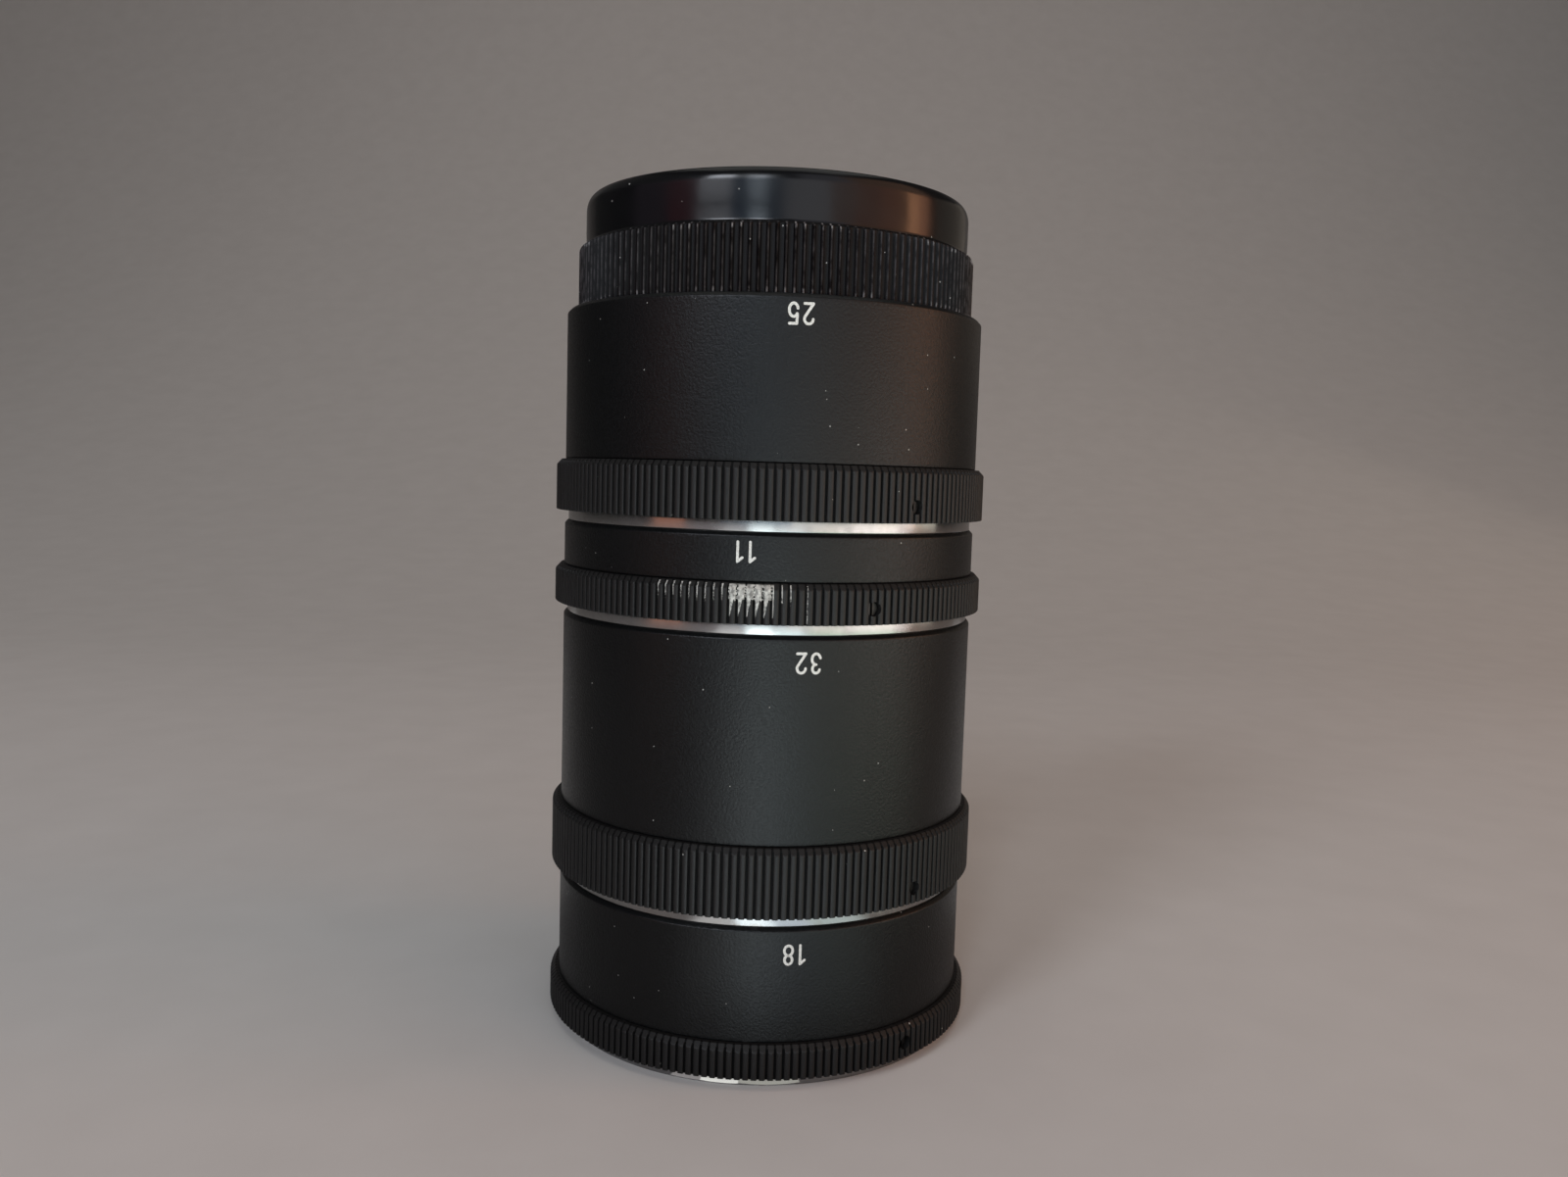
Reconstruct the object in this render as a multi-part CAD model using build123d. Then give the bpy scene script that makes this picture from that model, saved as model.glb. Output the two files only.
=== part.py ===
from build123d import *
import os
from math import cos, pi, sin

# Set of four screw-mount extension tubes, stacked, with a screw-on rear cap.
#
# Frame: millimetres, +Z up along the optical axis, origin at the centre of the
# front face of the lowest tube, on which the stack stands.  Every tube has its
# chromed front mount ring at the bottom and its male thread at the top, and
# that male thread goes up into the mount ring of the tube above.

# The extension that each tube gives, from its front face to its rear shoulder.
length_18 = 18.0
length_32 = 32.0
length_11 = 11.0
length_25 = 25.0

# Height of each tube's ribbed grip ring.
ring_height_18 = 3.80
ring_height_32 = 7.75
ring_height_11 = 4.40
ring_height_25 = 6.05

# Bearing of each tube's first grub screw, in degrees from -Y towards +X.
screw_bearing_18 = 40.8
screw_bearing_32 = 41.9
screw_bearing_11 = 26.0
screw_bearing_25 = 37.6

# The 42 mm screw mount.  The threads are smooth walls at their full size.
mount_thread_radius = 21.0
thread_fit = 0.05            # radial gap between male thread and mount ring
male_thread_length = 4.5
male_thread_wall = 1.45
mount_ring_depth = 5.0       # from the front face to the end of the sleeve

# Chromed mount ring: a flange in front of the barrel, a sleeve inside it.
flange_step = 0.43           # how far the flange stays inside the barrel's skin
flange_height = 1.25
sleeve_wall = 1.6
sleeve_fit = 0.05            # radial gap between the sleeve and the barrel
screw_groove_depth = 0.6     # V groove round the sleeve for the screw points

# Barrel.
barrel_wall = 2.62
barrel_edge = 0.4            # bevel round the rear edge
nose_wall = 1.15             # turned-down front end that carries the grip ring
rear_wall = 2.0              # inward flange between the barrel and male thread

# Ribbed grip ring.
rib_rise = 1.05              # how far the ribs stand proud of the barrel
rib_depth = 0.4
rib_count = 180
ring_fit = 0.02              # radial gap between the grip ring and the nose

# Grub screws, three round each ring.
screw_count = 3
screw_height = 3.0           # from the tube's front face
screw_radius = 0.75
screw_fit = 0.05             # radial gap in the tapped hole
screw_point_gap = 0.1        # from the point to the bottom of its groove
screw_recess = 0.3           # head below the bottom of the ribs
slot_width = 0.3
slot_depth = 0.4

# Rear cap, screwed over the top male thread.
cap_height = 13.3
cap_wall = 2.2
cap_edge_round = 1.0
cap_top_wall = 2.5
cap_band_step = 0.8          # how far the ribbed band stands proud of the crown
cap_band_height = 7.3
cap_rib_depth = 0.25
cap_rib_count = 156
cap_thread_fit = 0.05        # radial gap round the male thread

# Sizes that follow from the ones above.
male_thread_radius = mount_thread_radius - thread_fit
light_path_radius = male_thread_radius - male_thread_wall
sleeve_radius = mount_thread_radius + sleeve_wall
barrel_bore = sleeve_radius + sleeve_fit
barrel_radius = barrel_bore + barrel_wall
nose_radius = barrel_bore + nose_wall
flange_radius = barrel_radius - flange_step
rib_radius = barrel_radius + rib_rise
groove_radius = sleeve_radius - screw_groove_depth
screw_point = groove_radius + screw_point_gap
screw_head = rib_radius - rib_depth - screw_recess
cap_bore = male_thread_radius + cap_thread_fit
cap_radius = cap_bore + cap_wall
cap_band_radius = cap_radius + cap_band_step

# The tubes from the lowest one up: name, length, ring height, screw bearing.
tubes = [
    ("18", length_18, ring_height_18, screw_bearing_18),
    ("32", length_32, ring_height_32, screw_bearing_32),
    ("11", length_11, ring_height_11, screw_bearing_11),
    ("25", length_25, ring_height_25, screw_bearing_25),
]


def turned(*points):
    """A piece turned on the Z axis from its half section of (radius, height)."""
    section = make_face(Polyline(*[(r, 0, z) for r, z in points], close=True))
    return revolve(section, Axis.Z)


def ribbed_disc(radius, depth, count, height):
    """A disc with straight axial V ribs all round, their crests at radius."""
    half_pitch = pi / count
    outline = []
    for step in range(2 * count):
        reach = radius - depth * (step % 2)
        outline.append((reach * cos(step * half_pitch), reach * sin(step * half_pitch)))
    return extrude(make_face(Polyline(*outline, close=True)), height)


def disc(radius, height, bottom=0.0):
    """A plain round disc that stands on the height bottom."""
    return Pos(0, 0, bottom) * Cylinder(radius, height, align=(Align.CENTER, Align.CENTER, Align.MIN))


def screw_places(bearing):
    """Where each grub screw's axis leaves the tube, the X axis pointing out."""
    for turn in range(screw_count):
        yield Rot(0, 0, bearing - 90 + turn * 360 / screw_count) * Pos(0, 0, screw_height)


def tapped_holes(bearing):
    """The radial holes for the grub screws, through ring and nose."""
    hole = Rot(0, 90, 0) * disc(screw_radius + screw_fit, rib_radius, mount_thread_radius)
    return [place * hole for place in screw_places(bearing)]


def mount_ring():
    """Flange and threaded sleeve, with a V groove for the screw points."""
    return turned(
        (mount_thread_radius, 0),
        (flange_radius, 0),
        (flange_radius, flange_height),
        (sleeve_radius, flange_height),
        (sleeve_radius, screw_height - screw_groove_depth),
        (groove_radius, screw_height),
        (sleeve_radius, screw_height + screw_groove_depth),
        (sleeve_radius, mount_ring_depth),
        (mount_thread_radius, mount_ring_depth),
    )


def barrel(length, ring_height, bearing):
    """Tube with its turned-down nose, rear wall and male thread, in one piece."""
    ring_top = flange_height + ring_height
    body = turned(
        (barrel_bore, flange_height),
        (nose_radius, flange_height),
        (nose_radius, ring_top),
        (barrel_radius, ring_top),
        (barrel_radius, length - barrel_edge),
        (barrel_radius - barrel_edge, length),
        (male_thread_radius, length),
        (male_thread_radius, length + male_thread_length),
        (light_path_radius, length + male_thread_length),
        (light_path_radius, length - rear_wall),
        (barrel_bore, length - rear_wall),
    )
    return body - tapped_holes(bearing)


def grip_ring(ring_height, bearing):
    """Ribbed ring round the nose, between the flange and the barrel."""
    ring = ribbed_disc(rib_radius, rib_depth, rib_count, ring_height)
    ring -= disc(nose_radius + ring_fit, ring_height)
    return Pos(0, 0, flange_height) * ring - tapped_holes(bearing)


def grub_screw(place):
    """Slotted grub screw with a 45 degree point, its axis along place's X."""
    section = Polyline(
        (screw_point, 0),
        (screw_point + screw_radius, screw_radius),
        (screw_head, screw_radius),
        (screw_head, 0),
        close=True,
    )
    slot = Pos(screw_head, 0, 0) * Box(2 * slot_depth, slot_width, 4 * screw_radius)
    return place * (revolve(make_face(section), Axis.X) - slot)


def rear_cap():
    """Moulded cup: ribbed band below, smooth rounded dome above, bore inside."""
    crown = disc(cap_radius, cap_height)
    crown = fillet(crown.edges().group_by(Axis.Z)[-1], cap_edge_round)
    band = ribbed_disc(cap_band_radius, cap_rib_depth, cap_rib_count, cap_band_height)
    return crown + band - disc(cap_bore, cap_height - cap_top_wall)


def write(name, piece):
    """Write one node's STEP file."""
    export_step(piece, f"parts/{name}.step")


os.makedirs("parts", exist_ok=True)
front_face = 0.0
for number, length, ring_height, bearing in tubes:
    lift = Pos(0, 0, front_face)
    write(f"mount_ring_{number}", lift * mount_ring())
    write(f"barrel_{number}", lift * barrel(length, ring_height, bearing))
    write(f"grip_ring_{number}", lift * grip_ring(ring_height, bearing))
    for letter, place in zip("abc", screw_places(bearing)):
        write(f"grub_screw_{number}_{letter}", lift * grub_screw(place))
    front_face += length
write("rear_cap", Pos(0, 0, front_face) * rear_cap())
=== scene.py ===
"""Looks of a stack of four screw-mount extension tubes with its rear cap.

The pieces' lengths are in millimetres, and become metres as each mesh is made;
those in materials, lights and the camera are in metres.  Bearings are degrees
from -Y towards +X.  +Z runs up the optical axis, and the chromed mount ring of
every tube is at its lower end.
"""
from math import atan2, cos, degrees, pi, radians, sin

import bmesh
import bpy
import numpy as np
from mathutils import Matrix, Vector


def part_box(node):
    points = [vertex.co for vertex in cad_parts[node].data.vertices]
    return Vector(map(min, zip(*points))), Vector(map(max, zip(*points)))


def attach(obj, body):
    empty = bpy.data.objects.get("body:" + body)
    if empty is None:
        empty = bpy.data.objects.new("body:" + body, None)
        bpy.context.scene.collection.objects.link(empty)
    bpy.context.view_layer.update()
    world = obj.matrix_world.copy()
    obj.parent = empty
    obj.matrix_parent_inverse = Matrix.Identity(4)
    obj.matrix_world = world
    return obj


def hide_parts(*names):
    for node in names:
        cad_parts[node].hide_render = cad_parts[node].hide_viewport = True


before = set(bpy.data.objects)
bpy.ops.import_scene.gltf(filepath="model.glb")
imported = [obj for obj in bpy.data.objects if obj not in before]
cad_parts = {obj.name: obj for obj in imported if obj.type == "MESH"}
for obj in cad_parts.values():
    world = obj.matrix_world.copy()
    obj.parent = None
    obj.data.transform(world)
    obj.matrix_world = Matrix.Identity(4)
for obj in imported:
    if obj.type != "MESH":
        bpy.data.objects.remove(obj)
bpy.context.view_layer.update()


# ------------------------------------------------------------- Tubes
# Four tubes of 18, 32, 11 and 25 mm, each a barrel with a grip ring, a mount
# ring and three grub screws, screwed into one another from the bottom up.  The
# solids say where each one stands.

MM = 0.001


def span(node, axis):
    """Lowest and highest coordinate of a solid along an axis, in millimetres."""
    return [round(corner[axis] / MM, 3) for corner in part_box(node)]


numbers = ("18", "32", "11", "25")
cap_front = span("rear_cap", 2)[0]
fronts = [span(f"mount_ring_{number}", 2)[0] for number in numbers] + [cap_front]
tubes = {}
for number, front, rear in zip(numbers, fronts, fronts[1:]):
    ring_low, ring_high = span(f"grip_ring_{number}", 2)
    screw_low, screw_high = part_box(f"grub_screw_{number}_a")
    out = (screw_low + screw_high) / 2
    tubes[number] = {
        "front": front,
        "length": rear - front,
        "ring": ring_high - ring_low,
        "bearing": degrees(atan2(out.x, -out.y)),
    }

# The lowest tube stands at 0, so its pieces' heights are those in every tube.
FLANGE = span("grip_ring_18", 2)[0]                 # height of the chromed flange
SLEEVE = span("mount_ring_18", 2)[1]                # depth of the mount ring
THREAD = round(span("barrel_25", 2)[1] - cap_front, 3)   # length of the male thread
SKIN = span("barrel_18", 0)[1]                      # radius of the barrel
CREST = span("grip_ring_18", 0)[1]                  # radius at the crests of the ribs


# ------------------------------------------------------------- Barrels
# Aluminium tubes turned in one piece with their male thread, under a satin
# black finish with a fine grain.  The rear edge is bevelled, and sharp baffles
# are cut in the bore.

BORE = 22.65            # radii, down to the light path
NOSE = 23.8             # turned-down front end that carries the grip ring
REAR_FACE = 24.87       # where the rear bevel ends
THREAD_ROOT = 20.35
THREAD_CREST = 20.95
BAFFLE_EDGE = 22.4
LIGHT_PATH = 19.5
BEVEL = 0.42            # height of the rear bevel
SEAT_GAP = 0.004        # keeps the rear face clear of the flange that it meets
REAR_WALL = 2.0         # thickness of the wall between bore and male thread
BAFFLE_PITCH = 0.6
PLAIN_BORE = 0.7        # height left without baffles behind the mount ring
GUARD = 0.3             # width of the flat row that follows a rounded corner

ROUND = np.arange(256) * 2 * pi / 256


def turning(corners, steps=4, guard=GUARD):
    """Closed half section through corners (radius, height, reach).

    A corner turns into the parabolic curve b + p (1 - t)^2 + q t^2, where b is
    the corner and p and q run from it along its two sides for its reach.  A row
    a guard's width past each curve keeps the wide faces flat.  Returns rows of
    (radius, height, edge), edge being 1 on the curves and 0 between them.
    """
    rows = []
    for before, here, after in zip(corners[-1:] + corners[:-1], corners, corners[1:] + corners[:1]):
        a, b, c = (np.array(corner[:2], float) for corner in (before, here, after))
        if len(here) == 2:
            rows.append((*b, 0.0))
            continue
        reach = here[2]
        long_a, long_c = np.hypot(*(a - b)), np.hypot(*(c - b))
        to_a, to_c = (a - b) / long_a, (c - b) / long_c
        if long_a > 3 * (reach + guard):
            rows.append((*(b + to_a * (reach + guard)), 0.0))
        for t in np.linspace(0, 1, steps + 1):
            rows.append((*(b + to_a * reach * (1 - t) ** 2 + to_c * reach * t ** 2), 1.0))
        if long_c > 3 * (reach + guard):
            rows.append((*(b + to_c * (reach + guard)), 0.0))
    return np.array(rows)


def smoothed(mesh):
    """Shades a mesh smooth, apart from edges of more than 35 degrees."""
    mesh.shade_smooth()
    mesh.set_sharp_from_angle(angle=radians(35))


def piece_of(name, points, faces, edge=None):
    """Object from points in millimetres and faces, with the attribute edge."""
    mesh = bpy.data.meshes.new(name)
    mesh.from_pydata((points.reshape(-1, 3) * MM).tolist(), [], faces)
    if edge is not None:
        values = mesh.attributes.new("edge", "FLOAT", "POINT").data
        values.foreach_set("value", edge.astype(np.float32))
    smoothed(mesh)
    piece = bpy.data.objects.new(name, mesh)
    bpy.context.scene.collection.objects.link(piece)
    return piece


def between(index):
    """Four-sided faces between the neighbours in a grid of point numbers."""
    corners = (index[:-1, :-1], index[:-1, 1:], index[1:, 1:], index[1:, :-1])
    return np.stack(corners, axis=-1).reshape(-1, 4).tolist()


def turned(name, rows, angles, rib=None, lift=0.0):
    """Rows of (radius, height, edge) carried round the Z axis to the angles.

    The radius at (row, angle) is the row's radius, or that of rib where that is
    less.  A section that starts on the axis ends there too, and stays open.
    """
    radius = np.repeat(rows[:, :1], len(angles), axis=1)
    if rib is not None:
        radius = np.minimum(radius, rib)
    height = np.repeat(rows[:, 1:2], len(angles), axis=1) + lift
    points = np.stack((radius * np.cos(angles), radius * np.sin(angles), height), axis=-1)
    index = np.arange(radius.size).reshape(radius.shape)
    on_axis = rows[0, 0] == 0
    if not on_axis:
        index = np.vstack((index, index[:1]))
    index = np.hstack((index, index[:, :1]))
    piece = piece_of(name, points, between(index), np.repeat(rows[:, 2], len(angles)))
    if on_axis:
        made = bmesh.new()
        made.from_mesh(piece.data)
        bmesh.ops.remove_doubles(made, verts=made.verts, dist=1e-8)
        made.to_mesh(piece.data)
        made.free()
    return piece


def swept(name, sections):
    """Bar whose closed sections[step, corner] are joined and capped at both ends."""
    steps, corners = sections.shape[:2]
    index = np.arange(steps * corners).reshape(steps, corners)
    sides = between(np.hstack((index, index[:, :1])))
    return piece_of(name, sections, sides + [index[0, ::-1].tolist(), index[-1].tolist()])


def thread(name, root, crest, low, high, pitch=1.0):
    """Helical ridge from the radius root to the radius crest, inwards or outwards.

    Its trapezium section climbs one pitch a turn from low to high, and fades
    into the wall over the first and the last quarter turn.
    """
    turns = (high - low) / pitch
    t = np.linspace(0, 1, int(turns * 96) + 1)
    angle = (2 * pi * turns * t)[:, None]
    middle = (low + (high - low) * t)[:, None]
    fade = np.clip(np.minimum(t, 1 - t) * turns * 4, 0.02, 1)
    away = 1 if crest > root else -1
    base, top = root - 0.05 * away + 0 * t, root + (crest - root) * fade
    radius = np.stack((base, top, top, base), axis=1)
    offset = fade[:, None] * pitch * np.array((-0.44, -0.07, 0.07, 0.44))
    if away > 0:
        radius, offset = radius[:, ::-1], offset[:, ::-1]
    return swept(name, np.stack((radius * np.cos(angle), radius * np.sin(angle), middle + offset), axis=-1))


def put(tree, kind, inputs=None, **settings):
    """Adds a node, with its settings, its input values and its links."""
    made = tree.nodes.new("ShaderNode" + kind)
    for key, value in settings.items():
        setattr(made, key, value)
    for key, value in (inputs or {}).items():
        if isinstance(value, bpy.types.NodeSocket):
            tree.links.new(value, made.inputs[key])
        else:
            made.inputs[key].default_value = value
    return made


def calc(tree, operation, *values):
    """Result of a Math node on one to three values or sockets."""
    return put(tree, "Math", dict(enumerate(values)), operation=operation).outputs[0]


def mixed(tree, share, low, high):
    """Colour between low and high by share."""
    return put(tree, "Mix", {0: share, 6: low, 7: high}, data_type="RGBA").outputs[2]


def ranged(tree, value, low, high, to_low=0.0, to_high=1.0):
    """Value from low..high brought to to_low..to_high and held there."""
    return put(tree, "MapRange", {0: value, 1: low, 2: high, 3: to_low, 4: to_high}).outputs[0]


def noise(tree, scale, detail=3.0, roughness=0.5):
    """Noise over the piece's own coordinates, mostly between 0.3 and 0.7."""
    place = put(tree, "TexCoord").outputs["Object"]
    inputs = {"Vector": place, "Scale": scale, "Detail": detail, "Roughness": roughness}
    return put(tree, "TexNoise", inputs).outputs[0]


def group(name, inputs, outputs):
    """Empty node group with float inputs {name: value} and outputs {name: type}."""
    tree = bpy.data.node_groups.new(name, "ShaderNodeTree")
    for key, value in inputs.items():
        tree.interface.new_socket(key, in_out="INPUT", socket_type="NodeSocketFloat").default_value = value
    for key, kind in outputs.items():
        tree.interface.new_socket(key, in_out="OUTPUT", socket_type="NodeSocket" + kind)
    return tree, tree.nodes.new("NodeGroupInput").outputs, tree.nodes.new("NodeGroupOutput").inputs


def use(tree, effect, **values):
    """Puts a node group in a material and returns its outputs."""
    return put(tree, "Group", values, node_tree=effect).outputs


def material(name, **values):
    """Material with one Principled shader, its plain values on its own sockets."""
    made = bpy.data.materials.new(name)
    made.use_nodes = True
    shader = made.node_tree.nodes["Principled BSDF"]
    for key, value in values.items():
        shader.inputs[key.replace("_", " ")].default_value = value
    return made, made.node_tree, shader.inputs


# Fine grain: a bump of the height Height whose grains measure about Size.
grain, given, result = group(
    "grain", {"Size": 0.0002, "Height": 0.00001}, {"Normal": "Vector", "Value": "Float"})
fine = noise(grain, calc(grain, "DIVIDE", 1.0, given["Size"]))
bumped = put(grain, "Bump", {"Height": fine, "Distance": given["Height"], "Strength": 1.0}).outputs[0]
grain.links.new(bumped, result["Normal"])
grain.links.new(fine, result["Value"])

# Dust: round specks of the radius Radius in a share of cells Spacing wide.
dust, given, result = group("dust", {"Spacing": 0.002, "Radius": 0.0001, "Share": 0.3}, {"Mask": "Float"})
place = put(dust, "TexCoord").outputs["Object"]
count = calc(dust, "DIVIDE", 1.0, given["Spacing"])
cells = put(dust, "TexVoronoi", {"Vector": place, "Scale": count}).outputs
near = calc(dust, "LESS_THAN", calc(dust, "MULTIPLY", cells["Distance"], given["Spacing"]), given["Radius"])
lot = put(dust, "SeparateColor", {0: cells["Color"]}).outputs[0]
dust.links.new(calc(dust, "MULTIPLY", near, calc(dust, "LESS_THAN", lot, given["Share"])), result["Mask"])

# Rubbed edges: patches on the rounded corners, more of them with Amount.
rubbed, given, result = group("rubbed", {"Amount": 0.5}, {"Mask": "Float"})
patchy = noise(rubbed, 260.0, 5.0, 0.7)
corner = put(rubbed, "Attribute", attribute_name="edge").outputs["Fac"]
above = calc(rubbed, "SUBTRACT", patchy, calc(rubbed, "SUBTRACT", 1.0, given["Amount"]))
rubbed.links.new(calc(rubbed, "MULTIPLY", ranged(rubbed, above, 0.0, 0.08), corner), result["Mask"])


def grained(tree, shader, size, height, smooth=None, rough=None):
    """Gives a material its grain, and a roughness from smooth to rough with it."""
    surface = use(tree, grain, Size=size, Height=height)
    tree.links.new(surface["Normal"], shader["Normal"])
    if smooth is not None:
        tree.links.new(ranged(tree, surface["Value"], 0.3, 0.7, smooth, rough), shader["Roughness"])
    return surface["Value"]


barrel_black, tree, shader = material("barrel_black", IOR=1.4)
grained(tree, shader, 0.00028, 0.000045, 0.31, 0.45)
specks = use(tree, dust, Spacing=0.0018, Radius=0.00008, Share=0.45)["Mask"]
worn = use(tree, rubbed, Amount=0.33)["Mask"]
coat = mixed(tree, noise(tree, 90.0), (0.0015, 0.0018, 0.002, 1), (0.003, 0.0035, 0.0037, 1))
coat = mixed(tree, worn, coat, (0.03, 0.03, 0.03, 1))
tree.links.new(mixed(tree, specks, coat, (0.32, 0.31, 0.29, 1)), shader["Base Color"])

bore_black, tree, shader = material("bore_black", IOR=1.45)
matt = grained(tree, shader, 0.0002, 0.00002, 0.6, 0.75)
tree.links.new(mixed(tree, matt, (0.006, 0.006, 0.006, 1), (0.014, 0.014, 0.014, 1)), shader["Base Color"])

for number, tube in tubes.items():
    top, shoulder = FLANGE + tube["ring"], tube["length"]
    rear = shoulder - SEAT_GAP
    wall = shoulder - REAR_WALL
    baffles = []
    for step in range(int((wall - SLEEVE - PLAIN_BORE) / BAFFLE_PITCH)):
        at = wall - BAFFLE_PITCH * (step + 1)
        baffles += [(BORE, at), (BAFFLE_EDGE, at - BAFFLE_PITCH / 2)]
    rows = turning([
        (BORE, FLANGE), (NOSE, FLANGE), (NOSE, top), (SKIN, top, 0.2),
        (SKIN, shoulder - BEVEL, 0.12), (REAR_FACE, rear, 0.12), (THREAD_ROOT, rear),
        (THREAD_ROOT, shoulder + THREAD, 0.25), (LIGHT_PATH, shoulder + THREAD, 0.1),
        (LIGHT_PATH, wall, 0.1), (BORE, wall)] + baffles + [(BORE, SLEEVE)])
    body = turned(f"barrel_body_{number}", rows, ROUND, lift=tube["front"])
    body.data.materials.append(barrel_black)
    body.data.materials.append(bore_black)
    inner = np.repeat((rows[:, 0] < BORE + 0.05) & (rows[:, 1] < wall + 0.1), len(ROUND))
    body.data.polygons.foreach_set("material_index", inner.astype(np.int32))
    low = tube["front"] + shoulder + 0.75
    high = tube["front"] + shoulder + THREAD - 0.5
    ridge = thread(f"barrel_thread_{number}", THREAD_ROOT, THREAD_CREST, low, high)
    ridge.data.materials.append(barrel_black)
    for piece in (body, ridge):
        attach(piece, f"tube_{number}")
        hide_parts(f"barrel_{number}")


# ------------------------------------------------------------- Grip rings
# Anodised rings pressed on the barrels' noses, cut with 180 flat-topped ribs,
# their rear ends bevelled, and drilled for three grub screws.  The ring of the
# 11 tube has old white paint on it.

RIBS = 180
RING_BORE = 23.82
RING_BEVEL = 0.65       # height of the bevel at the rear end of the ribs
BEVEL_IN = 0.6          # how far that bevel goes in
SCREW_HEIGHT = 3.0      # above the tube's front face
HOLE = 0.8
DRILL_RUN = (23.0, 27.0)        # from inside the bore to outside the crests
PAINT_LOW, PAINT_FULL = 0.32, 0.23      # ring heights below the bevel

# Section of one rib and its groove: bearings in ribs, depths below the crest.
RIB_AT = np.array([-0.33, -0.25, -0.1, 0.1, 0.25, 0.33, 0.37, 0.5, 0.63])
RIB_CUT = np.array([0.09, 0.03, 0.0, 0.0, 0.03, 0.09, 0.37, 0.40, 0.37])

# Old paint: a block over five ribs and a bit with tongues that run down between them, and
# thin strips along the ribs beside it.  Bearings count in ribs from the front,
# a whole number being the middle of a rib, and down runs from 0 at the ring's
# rear face to 1 at its front face.
painted = tubes["11"]
painted_top = (painted["front"] + FLANGE + painted["ring"]) * MM
paint, given, result = group("old_paint", {}, {"Mask": "Float"})
at = put(paint, "SeparateXYZ", {0: put(paint, "TexCoord").outputs["Object"]}).outputs
bearing = calc(paint, "ARCTAN2", at["X"], calc(paint, "MULTIPLY", at["Y"], -1.0))
along = calc(paint, "MULTIPLY_ADD", bearing, RIBS / (2 * pi), 0.5)
which = calc(paint, "FLOOR", along)
side = calc(paint, "SUBTRACT", calc(paint, "FRACT", along), 0.5)
down = calc(paint, "DIVIDE", calc(paint, "SUBTRACT", painted_top, at["Z"]), painted["ring"] * MM)
ragged = calc(paint, "SUBTRACT", noise(paint, 4200.0, 3.0, 0.6), 0.5)


def within(value, low, high):
    """1 where a value lies between low and high, else 0."""
    return calc(paint, "COMPARE", value, (low + high) / 2, (high - low) / 2)


def reaching(lower, rag):
    """1 from the rear face down to a share of the ring's height, roughened by rag."""
    return calc(paint, "LESS_THAN", calc(paint, "MULTIPLY_ADD", ragged, rag, down), lower)


def strips(first, last, left, right, lower, rag):
    """Thin strips on the ribs first to last, from left to right of their middles."""
    across = calc(paint, "MULTIPLY", within(which, first - 0.5, last + 0.5), within(side, left, right))
    return calc(paint, "MULTIPLY", across, reaching(lower, rag))


tongue = ranged(paint, side, 0.12, -0.3, 0.4, 0.82)
gap = calc(paint, "GREATER_THAN", calc(paint, "ABSOLUTE", side), 0.36)
lower = calc(paint, "MULTIPLY_ADD", gap, calc(paint, "SUBTRACT", 0.38, tongue), tongue)
pits = calc(paint, "MULTIPLY", gap, calc(paint, "GREATER_THAN", ragged, 0.02))
block = calc(paint, "MULTIPLY", within(which, -4.5, 1.5), reaching(lower, 0.25))
left_of_end = calc(paint, "LESS_THAN", calc(paint, "ADD", which, side), 0.76)
block = calc(paint, "MULTIPLY", calc(paint, "SUBTRACT", block, pits), left_of_end)
left_strips = calc(paint, "MULTIPLY", strips(-13, -5, -0.37, -0.16, 0.38, 1.2),
                   calc(paint, "GREATER_THAN", ragged, -0.09))
right_strips = strips(2, 3, -0.36, -0.22, 0.4, 0.9)
long_strip = calc(paint, "MULTIPLY", strips(5, 5, -0.35, -0.26, 1.0, 0.0),
                  calc(paint, "GREATER_THAN", ragged, -0.02))
most = calc(paint, "MAXIMUM", calc(paint, "MAXIMUM", block, left_strips),
            calc(paint, "MAXIMUM", right_strips, long_strip))
paint.links.new(calc(paint, "MULTIPLY", most, within(down, 0.03, 0.95)), result["Mask"])

# Two looks: the ribs, and the floors of the grooves, which see less light. The grooves' look is painted
# shade: far darker than the ribs, and less glossy.
ring_looks = []
for name, gloss, smooth, coat, bare in (
        ("grip_black", 1.4, 0.44, (0.0105, 0.0098, 0.0095, 1), (0.033, 0.031, 0.029, 1)),
        ("groove_painted_shade", 1.25, 0.6, (0.0008, 0.0007, 0.0007, 1), (0.004, 0.004, 0.004, 1))):
    made, tree, shader = material(name, IOR=gloss)
    ring_looks.append(made)
    grained(tree, shader, 0.0002, 0.00001, smooth, smooth + 0.12)
    base = mixed(tree, use(tree, rubbed, Amount=0.3)["Mask"], coat, bare)
    specks = use(tree, dust, Spacing=0.0022, Radius=0.0001, Share=0.3)["Mask"]
    base = mixed(tree, specks, base, (0.4, 0.39, 0.36, 1))
    lumps = ranged(tree, noise(tree, 2600.0), 0.36, 0.6)
    flakes = mixed(tree, lumps, (0.20, 0.19, 0.175, 1), (0.62, 0.60, 0.55, 1))
    tree.links.new(mixed(tree, use(tree, paint)["Mask"], base, flakes), shader["Base Color"])


def joined(name, parts):
    """One object from several."""
    whole = bmesh.new()
    for part in parts:
        whole.from_mesh(part.data)
    whole.to_mesh(parts[0].data)
    whole.free()
    parts[0].name = name
    for part in parts[1:]:
        bpy.data.objects.remove(part)
    return parts[0]


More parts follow.
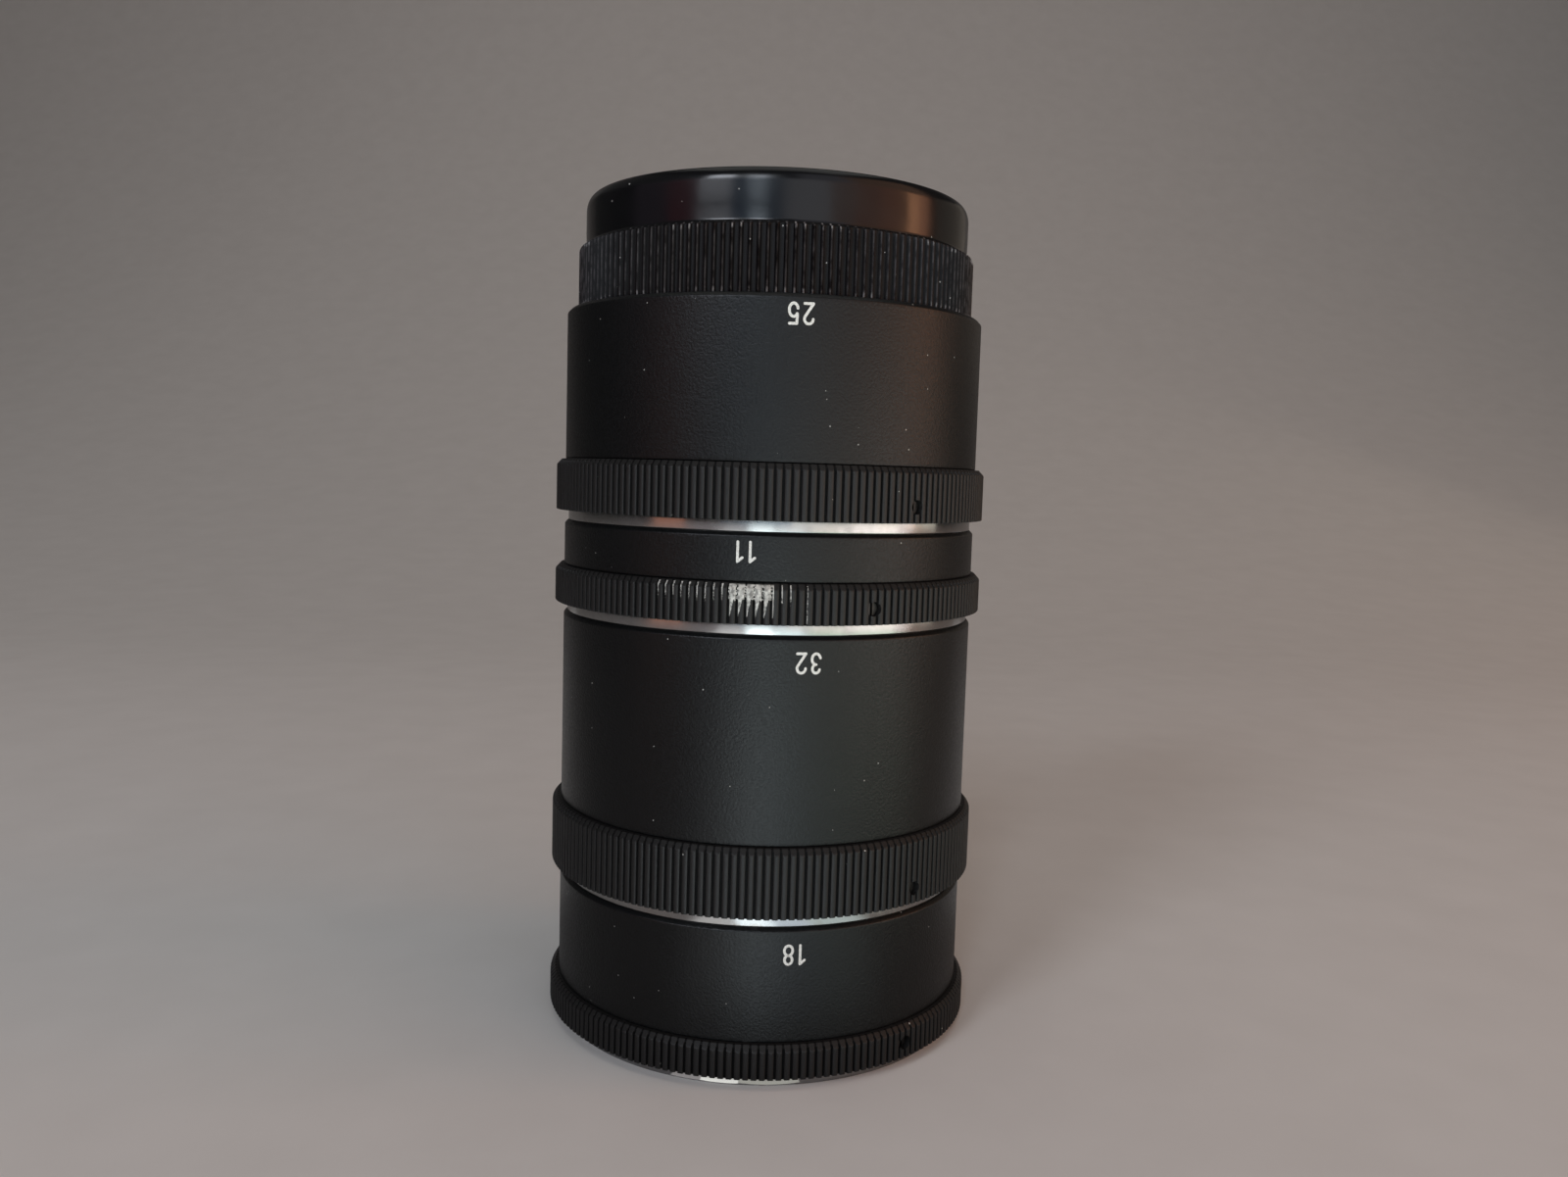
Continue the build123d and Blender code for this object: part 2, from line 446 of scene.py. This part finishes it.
def drilled(piece, bearing, height):
    """Cuts the round radial holes for the grub screws, a third of a turn apart."""
    drills = []
    turn = (np.arange(32) * 2 * pi / 32)[:, None]
    for third in range(3):
        a = radians(bearing + 120 * third)
        outwards, sideways = np.array((sin(a), -cos(a), 0)), np.array((cos(a), sin(a), 0))
        ring = HOLE * (np.cos(turn) * sideways + np.sin(turn) * np.array((0, 0, 1)))
        ends = np.array([ring + outwards * reach for reach in DRILL_RUN]) + np.array((0, 0, height))
        drills.append(swept("drill", ends))
    drill = joined("drill", drills)
    cut = piece.modifiers.new("holes", "BOOLEAN")
    cut.object, cut.operation, cut.solver = drill, "DIFFERENCE", "EXACT"
    bpy.context.view_layer.update()
    mesh = bpy.data.meshes.new_from_object(piece.evaluated_get(bpy.context.evaluated_depsgraph_get()))
    piece.modifiers.clear()
    piece.data = mesh
    smoothed(mesh)
    bpy.data.objects.remove(drill)


rib_angles = ((np.arange(RIBS)[:, None] + RIB_AT[None, :]) * 2 * pi / RIBS).ravel()
rib_cuts = np.tile(RIB_CUT, RIBS)
rib_bearings = (np.degrees(rib_angles) + 90 + 180) % 360 - 180

# The paint's block lies between two bearings, and fills most of the depth of the
# grooves under it.
under_block = (rib_bearings > -9.1) & (rib_bearings < 2.5)

# The grooves' floors are the faces that lie deeper than this on average. They take the look with the painted
# shade.
floors = (rib_cuts + np.roll(rib_cuts, -1)) / 2 > 0.3
for number, tube in tubes.items():
    top = FLANGE + tube["ring"]
    bevel = top - RING_BEVEL
    wall_rows = [(CREST, bevel - tube["ring"] * share) for share in np.linspace(PAINT_LOW, PAINT_FULL, 4)]
    bevel_rows = [(CREST - BEVEL_IN * s, bevel + RING_BEVEL * s) for s in (0.15, 0.3, 0.45, 0.6, 0.75, 0.9)]
    rows = turning(
        [(RING_BORE, FLANGE), (CREST, FLANGE, 0.1)] + wall_rows + [(CREST, bevel, 0.1)] + bevel_rows
        + [(CREST - BEVEL_IN, top, 0.05), (RING_BORE, top)], guard=0.15)
    cut = np.repeat(rib_cuts[None, :], len(rows), axis=0)
    if number == "11":
        up = (rows[:, 1:2] - bevel) / tube["ring"] + PAINT_LOW
        filled = np.clip(up / (PAINT_LOW - PAINT_FULL), 0, 1)
        cut = cut * (1 - 0.8 * filled * under_block)
    ring = turned(f"grip_{number}", rows, rib_angles, CREST - cut, lift=tube["front"])
    for look in ring_looks:
        ring.data.materials.append(look)
    outer = np.minimum(rows[:, 0], np.roll(rows[:, 0], -1)) > (RING_BORE + CREST) / 2
    # The faces of the grooves' floors, which take the painted shade.
    sunk = (outer[:, None] & floors[None, :]).ravel()
    ring.data.polygons.foreach_set("material_index", sunk.astype(np.int32))
    drilled(ring, tube["bearing"], tube["front"] + SCREW_HEIGHT)
    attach(ring, f"tube_{number}")
    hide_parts(f"grip_ring_{number}")


# ------------------------------------------------------------- Mount rings
# Chromed brass: the flange shows as a bright line in front of each grip ring.
# The sleeve behind it is cut with the female thread, and round it runs the V
# groove for the points of the grub screws.

FLANGE_RADIUS = 24.84
SLEEVE_RADIUS = 22.6
GROOVE = 0.6            # depth and half width of the V groove
MOUNT_ROOT = 21.5
MOUNT_CREST = 21.0

ring_chrome, tree, shader = material("ring_chrome", Metallic=1.0, Anisotropic=0.85, Anisotropic_Rotation=0.25)
grained(tree, shader, 0.0009, 0.000004, 0.16, 0.22)
tree.links.new(put(tree, "Tangent", direction_type="RADIAL", axis="Z").outputs[0], shader["Tangent"])
worn = use(tree, rubbed, Amount=0.4)["Mask"]
tree.links.new(mixed(tree, worn, (0.46, 0.46, 0.455, 1), (0.40, 0.38, 0.36, 1)), shader["Base Color"])

for number, tube in tubes.items():
    front = tube["front"]
    rows = turning([
        (MOUNT_ROOT, 0.0, 0.35), (FLANGE_RADIUS, 0.0, 0.12), (FLANGE_RADIUS, FLANGE, 0.1),
        (SLEEVE_RADIUS, FLANGE), (SLEEVE_RADIUS, SCREW_HEIGHT - GROOVE),
        (SLEEVE_RADIUS - GROOVE, SCREW_HEIGHT), (SLEEVE_RADIUS, SCREW_HEIGHT + GROOVE),
        (SLEEVE_RADIUS, SLEEVE), (MOUNT_ROOT, SLEEVE)])
    body = turned(f"mount_body_{number}", rows, ROUND, lift=front)
    ridge = thread(f"mount_thread_{number}", MOUNT_ROOT, MOUNT_CREST, front + 0.75, front + SLEEVE - 0.5)
    for piece in (body, ridge):
        piece.data.materials.append(ring_chrome)
        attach(piece, "tube_18" if number == "18" else f"ring_{number}")
        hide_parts(f"mount_ring_{number}")


# ------------------------------------------------------------- Grub screws
# Slotted steel screws, blackened and sunk below the grooves of the grip rings.
# Their solids are kept and take the steel.

screw_black, tree, shader = material("screw_black", Metallic=1.0)
steel = grained(tree, shader, 0.00012, 0.000008, 0.35, 0.5)
tree.links.new(mixed(tree, steel, (0.02, 0.02, 0.022, 1), (0.09, 0.085, 0.08, 1)), shader["Base Color"])
for name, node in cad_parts.items():
    if name.startswith("grub_screw"):
        node.data.materials.clear()
        node.data.materials.append(screw_black)


# ------------------------------------------------------------- Numbers
# Each tube's length in millimetres, engraved near its rear edge and filled with
# white paint.  They read from the rear, so they stand on their heads.

DIGIT = 2.09            # height of a digit
STEP = 0.06             # between two points of a stroke, about
SPACE = 0.33            # between two digits, in digit heights
LINE = 0.145            # half the width of a line
PROUD = 0.012           # how far the paint stands above the skin
ROOT = 0.05             # how far it goes in

fill_white, tree, shader = material("fill_white", Roughness=0.6)
chalk = ranged(tree, grained(tree, shader, 0.00012, 0.00001), 0.35, 0.6)
tree.links.new(mixed(tree, chalk, (0.52, 0.50, 0.46, 1), (0.80, 0.78, 0.73, 1)), shader["Base Color"])


def arc(x, y, rx, ry, start, end):
    """Points on an ellipse about (x, y), from one angle to another, in degrees."""
    t = np.radians(np.linspace(start, end, 40))
    return np.stack((x + rx * np.cos(t), y + ry * np.sin(t)), axis=1)


def line(*points):
    """Points along straight runs between corners, 24 to a run."""
    return np.concatenate([np.linspace(a, b, 24) for a, b in zip(points, points[1:])])


# Width and strokes of each digit, from its lower left corner, its height being 1.
two = np.concatenate((arc(0.22, 0.76, 0.22, 0.24, 178, -30), line((0.41, 0.64), (0.0, 0.0))[1:]))
digits = {
    "1": (0.31, [line((0.24, 1.0), (0.24, 0.0)), line((0.24, 1.0), (0.0, 0.8))]),
    "2": (0.44, [two, line((0.0, 0.0), (0.44, 0.0))]),
    "3": (0.44, [arc(0.22, 0.78, 0.19, 0.22, 168, -88), arc(0.22, 0.28, 0.22, 0.28, 90, -168)]),
    "5": (0.44, [line((0.42, 1.0), (0.05, 1.0)), line((0.05, 1.0), (0.03, 0.57)),
                 arc(0.22, 0.33, 0.22, 0.33, 145, -165)]),
    "8": (0.44, [arc(0.22, 0.76, 0.2, 0.24, -90, 270), arc(0.22, 0.26, 0.22, 0.26, 90, 450)]),
}


def stroke(name, path, bearing, height):
    """Round-ended ribbon along a path of points, laid head down on the barrel.

    Its width is LINE on each side of the path.  Past either end of the path it
    is the root of LINE squared less the distance squared, a half circle.
    """
    path = path * DIGIT
    step = np.diff(path, axis=0)
    run = np.concatenate(([0], np.cumsum(np.hypot(*step.T))))
    end = run[-1]
    caps = LINE * (1 - np.cos(np.linspace(0, pi / 2, 7)))
    fine = np.unique(np.concatenate((
        caps - LINE, np.linspace(0, end, max(8, int(end / STEP))), end + LINE - caps)))

    def spot(distance):
        inside = np.clip(distance, 0, end)
        return np.stack([np.interp(inside, run, path[:, k]) for k in (0, 1)], axis=1)

    ahead = spot(fine + STEP / 2) - spot(fine - STEP / 2)
    ahead[fine <= 0.0] = step[0]
    ahead[fine >= end] = step[-1]
    ahead /= np.hypot(*ahead.T)[:, None]
    before, after = np.minimum(fine, 0), np.maximum(fine - end, 0)
    spine = spot(fine) + ahead * (before + after)[:, None]
    wide = np.sqrt(np.maximum(LINE ** 2 - (after - before) ** 2, 1e-6))
    side = np.stack((-ahead[:, 1], ahead[:, 0]), axis=1) * wide[:, None]
    corners = np.stack((spine + side, spine - side, spine - side, spine + side), axis=1)
    radius = SKIN + np.array((PROUD, PROUD, -ROOT, -ROOT))[None, :]
    angle = radians(bearing) - corners[..., 0] / SKIN
    points = (radius * np.sin(angle), -radius * np.cos(angle), height - corners[..., 1])
    return swept(name, np.stack(points, axis=-1))


# Each number's bearing, and how far its middle is below the rear edge.
for number, bearing, below in (("18", 9.3, 3.0), ("32", 10.6, 2.88), ("11", -5.5, 2.12), ("25", 6.15, 2.15)):
    height = tubes[number]["front"] + tubes[number]["length"] - below
    at = -(sum(digits[digit][0] for digit in number) + SPACE) / 2
    strokes = []
    for digit in number:
        breadth, paths = digits[digit]
        strokes += [stroke("stroke", path + np.array((at, -0.5)), bearing, height) for path in paths]
        at += breadth + SPACE
    mark = joined(f"number_{number}", strokes)
    mark.data.materials.append(fill_white)
    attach(mark, f"tube_{number}")


# ------------------------------------------------------------- Rear cap
# Moulded glossy black cap: a band of 156 fine ribs with rounded ends below a
# plain crown with a rounded shoulder, and a female thread inside.

CAP_RIBS = 156
CAP_BAND = 24.0         # radius of the band at the crests of its ribs
CAP_RIB_DEPTH = 0.4
BAND_TOP = 7.3
CROWN = 23.2
CAP_TOP = 13.3
CAP_BORE = 21.4
CAP_DEPTH = 10.8

cap_plastic, tree, shader = material("cap_plastic", IOR=1.45)
grained(tree, shader, 0.0011, 0.000006)
specks = use(tree, dust, Spacing=0.0021, Radius=0.0001, Share=0.25)["Mask"]
tree.links.new(mixed(tree, specks, (0.003, 0.003, 0.0036, 1), (0.42, 0.41, 0.38, 1)), shader["Base Color"])
smears = ranged(tree, noise(tree, 160.0, 4.0), 0.35, 0.7, 0.16, 0.26)
tree.links.new(calc(tree, "MULTIPLY_ADD", specks, 0.5, smears), shader["Roughness"])

# The band's crests are lighter along a thin line, a painted highlight broken by noise, and rubbed most at
# their ends.
cap_grip, tree, shader = material("cap_grip", IOR=1.28)
grained(tree, shader, 0.0002, 0.00001, 0.42, 0.55)
at = put(tree, "SeparateXYZ", {0: put(tree, "TexCoord").outputs["Object"]}).outputs
along = calc(tree, "MULTIPLY_ADD", calc(tree, "ARCTAN2", at["Y"], at["X"]), CAP_RIBS / (2 * pi), 0.5)
off_crest = calc(tree, "ABSOLUTE", calc(tree, "SUBTRACT", calc(tree, "FRACT", along), 0.5))
crest = ranged(tree, off_crest, 0.07, 0.13, 1.0, 0.0)
# Painted highlight: a thin lighter line along each crest.
crest_highlight = calc(tree, "MULTIPLY", crest, ranged(tree, noise(tree, 900.0), 0.35, 0.6))
ends = calc(tree, "MULTIPLY", crest, use(tree, rubbed, Amount=0.5)["Mask"])
base = mixed(tree, crest_highlight, (0.002, 0.0016, 0.002, 1), (0.04, 0.036, 0.037, 1))
base = mixed(tree, ends, base, (0.2, 0.19, 0.19, 1))
specks = use(tree, dust, Spacing=0.0016, Radius=0.00009, Share=0.5)["Mask"]
tree.links.new(mixed(tree, specks, base, (0.34, 0.33, 0.32, 1)), shader["Base Color"])

# Round one rib the radius falls from its crest by the depth times 1 - s^3, where
# s is half of 1 plus the cosine, which goes once round from crest to crest.
cap_rib_at = np.arange(8) / 8
shape = 0.5 + 0.5 * np.cos(cap_rib_at * 2 * pi)
cap_angles = ((np.arange(CAP_RIBS)[:, None] + cap_rib_at[None, :]) * 2 * pi / CAP_RIBS).ravel()
cap_rib = np.tile(CAP_BAND - CAP_RIB_DEPTH * (1 - shape ** 3), CAP_RIBS)
shoulder = [
    (CROWN - 0.9 + 0.9 * cos(t), CAP_TOP - 1.6 + 1.6 * sin(t)) for t in np.radians(np.linspace(0, 90, 13))]
rows = turning([
    (0.0, CAP_DEPTH), (CAP_BORE, CAP_DEPTH, 0.3), (CAP_BORE, 0.0, 0.3), (CAP_BAND, 0.0, 0.45),
    (CAP_BAND, BAND_TOP, 0.4), (CROWN - 0.06, BAND_TOP, 0.6), (CROWN, 9.3)] + shoulder + [
    (17.6, CAP_TOP, 0.3), (17.0, CAP_TOP - 0.3, 0.3), (1.2, CAP_TOP - 0.3), (0.0, CAP_TOP - 0.3)], steps=6)
body = turned("cap_body", rows, cap_angles, cap_rib, lift=cap_front)
ridge = thread("cap_thread", CAP_BORE, MOUNT_CREST, cap_front + 0.8, cap_front + 6.0)
body.data.materials.append(cap_plastic)
body.data.materials.append(cap_grip)
banded = (rows[:-1, 1] < BAND_TOP + 0.2) & (rows[:-1, 1] > -0.1) & (rows[:-1, 0] > CROWN + 0.05)
body.data.polygons.foreach_set("material_index", np.repeat(banded, len(cap_angles)).astype(np.int32))
ridge.data.materials.append(cap_plastic)
for piece in (body, ridge):
    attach(piece, "cap")
    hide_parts("rear_cap")


# ------------------------------------------------------------- Stage
# Plain pale floor, round in front and curved up into a wall at the back, soft
# light panels round the stack and over it, and the camera.

FLOOR = 790             # radius of the floor in front
BEND_START = 300        # where the floor starts to curve up
BEND = 1100             # radius of that curve
WALL_TOP = 1600


def shown(tree):
    """1 where the eye meets the background directly, less in a mirror or glass."""
    seen = put(tree, "LightPath").outputs
    mirrored = calc(tree, "MAXIMUM", seen["Is Glossy Ray"], seen["Is Transmission Ray"])
    return calc(tree, "MAXIMUM", seen["Is Camera Ray"], calc(tree, "MULTIPLY", mirrored, 0.1))


stage_pale, tree, shader = material("stage_pale", Roughness=0.85)
pale = mixed(tree, noise(tree, 70.0, 4.0), (0.76, 0.73, 0.69, 1), (0.84, 0.81, 0.77, 1))
tree.links.new(mixed(tree, shown(tree), (0.36, 0.345, 0.33, 1), pale), shader["Base Color"])

# The floor's middle line as (y, z) from its front to the top of the wall, and
# its half width at each point of the line.
bend = np.radians(np.linspace(0, 90, 25))
front_edge = -FLOOR * np.cos(bend[:-1])
curve = np.stack((BEND_START + BEND * np.sin(bend), BEND - BEND * np.cos(bend)), axis=1)
run = np.concatenate((
    np.stack((front_edge, 0 * front_edge), axis=1), [(0, 0)], curve, [(BEND_START + BEND, WALL_TOP)]))
y, z = run[:, :1], run[:, 1:]
half = np.where(y < 0, np.sqrt(np.maximum(FLOOR ** 2 - y ** 2, 1)), FLOOR + 0.3 * y)
across = half * np.linspace(-1, 1, 9)
index = np.arange(across.size).reshape(across.shape)
floor = piece_of("floor", np.stack(np.broadcast_arrays(across, y, z), axis=-1), between(index))
floor.data.materials.append(stage_pale)


def panel(name, width, height, spot, turn, colour):
    """Soft rectangular light panel, all in metres; its colour gives its brightness too."""
    light = bpy.data.lights.new(name, "AREA")
    light.shape, light.size, light.size_y = "RECTANGLE", width, height
    light.energy = 4 * max(colour) * width * height
    light.color = np.array(colour) / max(colour)
    lamp = bpy.data.objects.new(name, light)
    lamp.location, lamp.rotation_euler = spot, turn
    lamp.visible_camera = False
    bpy.context.scene.collection.objects.link(lamp)


# Upright panels 0.8 m away, which stand for a window, its frame and a warm lamp:
# the bearings of their sides, and their colour.  Each row of panels comes with
# its lower and its upper edge in metres.
WALL = 0.8
wall_panels = {
    (0, 0.14): [
        (-65, -46, (0.35, 0.14, 0.08)), (-16, -7, (0.08, 0.12, 0.18)), (-7, 12, (0.2, 0.28, 0.35)),
        (12, 30, (0.8, 0.8, 0.75)), (30, 44, (0.8, 0.8, 0.75)), (44, 60, (1.35, 1.3, 1.2)),
        (60, 74, (1.6, 1.5, 1.3)), (74, 86, (1.45, 1.3, 1.2)), (86, 104, (0.7, 0.65, 0.55))],
    (0.14, 0.42): [
        (-90, -65, (0.08, 0.06, 0.08)), (-65, -46, (0.22, 0.06, 0.08)), (-26, -16, (0.02, 0.1, 0.22)),
        (-7, 3, (0.1, 0.16, 0.24)), (3, 30, (0.7, 0.7, 0.75)), (30, 44, (0.5, 0.35, 0.3)),
        (44, 60, (0.55, 0.28, 0.2)), (60, 74, (0.7, 0.3, 0.18)), (74, 80, (0.7, 0.35, 0.2)),
        (104, 150, (0.12, 0.1, 0.08))],
    (0.14, 0.38): [(80, 88, (3.3, 1.55, 0.8)), (88, 97, (1.6, 0.7, 0.4))],
    (0.24, 0.42): [(-46, -26, (1.6, 1.65, 1.8)), (-16, -7, (2.4, 2.8, 3.2))],
    (0.42, 0.66): [(-42, -26, (7, 7.3, 8)), (-16, -7, (7, 7.5, 8.3))],
    (0.42, 1.0): [
        (-150, -60, (0.04, 0.04, 0.04)), (12, 44, (0.35, 0.35, 0.4)), (44, 100, (0.5, 0.28, 0.18))],
}
for (low, high), row in wall_panels.items():
    for left, right, colour in row:
        middle = radians((left + right) / 2)
        panel(
            "wall_panel", 2 * WALL * np.tan(radians(right - left) / 2), high - low,
            (WALL * sin(middle), -WALL * cos(middle), (low + high) / 2), (pi / 2, 0, middle), colour)

# White cards that lie on the floor and light the stack from below, in rings with
# their near and far edge in metres.  Those of the first ring lie under the edge
# of the lowest grip ring and light its flange, and those of the last one light
# the back.
CARD_HEIGHT = 0.00005
floor_cards = {
    (0.0249, 0.0259): [
        (-22, -14, (0.3, 0.28, 0.28)), (-14, -4, (1.1, 1.1, 1.05)), (-4, 12, (0.45, 0.45, 0.4))],
    (0.045, 0.12): [
        (-26, -12, (0.45, 0.45, 0.45)), (-12, 4, (1.4, 1.6, 1.7)), (4, 20, (0.55, 0.65, 0.75)),
        (20, 44, (0.45, 0.55, 0.55))],
    (0.12, 0.3): [
        (-26, -12, (0.75, 0.75, 0.75)), (-12, 4, (2.65, 3.05, 3.1)), (4, 20, (1.15, 1.5, 1.5)),
        (20, 44, (0.45, 0.7, 0.5)), (44, 74, (0.55, 0.8, 0.6))],
    (0.3, 0.8): [
        (-65, -46, (0.24, 0.1, 0.06)), (-46, -26, (0.04, 0.01, 0.01)), (-26, -12, (0.24, 0.24, 0.24)),
        (-12, 4, (1.1, 1.2, 1.2)), (4, 20, (0.95, 0.85, 0.85)), (20, 44, (1.3, 1.1, 1.05)),
        (44, 74, (2, 1.75, 1.75))],
    (0.05, 0.4): [
        (125, 150, (0.12, 0.12, 0.12)), (168, 184, (1.5, 1.5, 1.5)), (205, 230, (0.12, 0.12, 0.12))],
}
for (near, far), row in floor_cards.items():
    centre = (near + far) / 2
    for left, right, colour in row:
        middle = radians((left + right) / 2)
        panel(
            "floor_card", 2 * centre * np.tan(radians(right - left) / 2), far - near,
            (centre * sin(middle), -centre * cos(middle), CARD_HEIGHT), (pi, 0, middle), colour)

panel("overhead", 1.34, 1.2, (0, 0, 1.4), (0, 0, 0), (0.46, 0.465, 0.45))

world = bpy.data.worlds.new("room")
world.use_nodes = True
tree = world.node_tree
room = mixed(tree, shown(tree), (0.015, 0.015, 0.015, 1), (0.175, 0.166, 0.157, 1))
tree.links.new(room, tree.nodes["Background"].inputs[0])
bpy.context.scene.world = world
bpy.context.scene.view_settings.view_transform = "Standard"

# The camera looks 5.21 degrees down and 0.765 to the right, and is rolled 1.705.
camera = bpy.data.objects.new("camera", bpy.data.cameras.new("camera"))
camera.data.lens, camera.data.sensor_width, camera.data.clip_start = 28.6, 36.0, 0.01
camera.matrix_world = (
    Matrix.Translation((0, -0.1566, 0.0671)) @ Matrix.Rotation(radians(-0.765), 4, "Z")
    @ Matrix.Rotation(radians(90 - 5.21), 4, "X") @ Matrix.Rotation(radians(1.705), 4, "Z"))
bpy.context.scene.collection.objects.link(camera)
bpy.context.scene.camera = camera
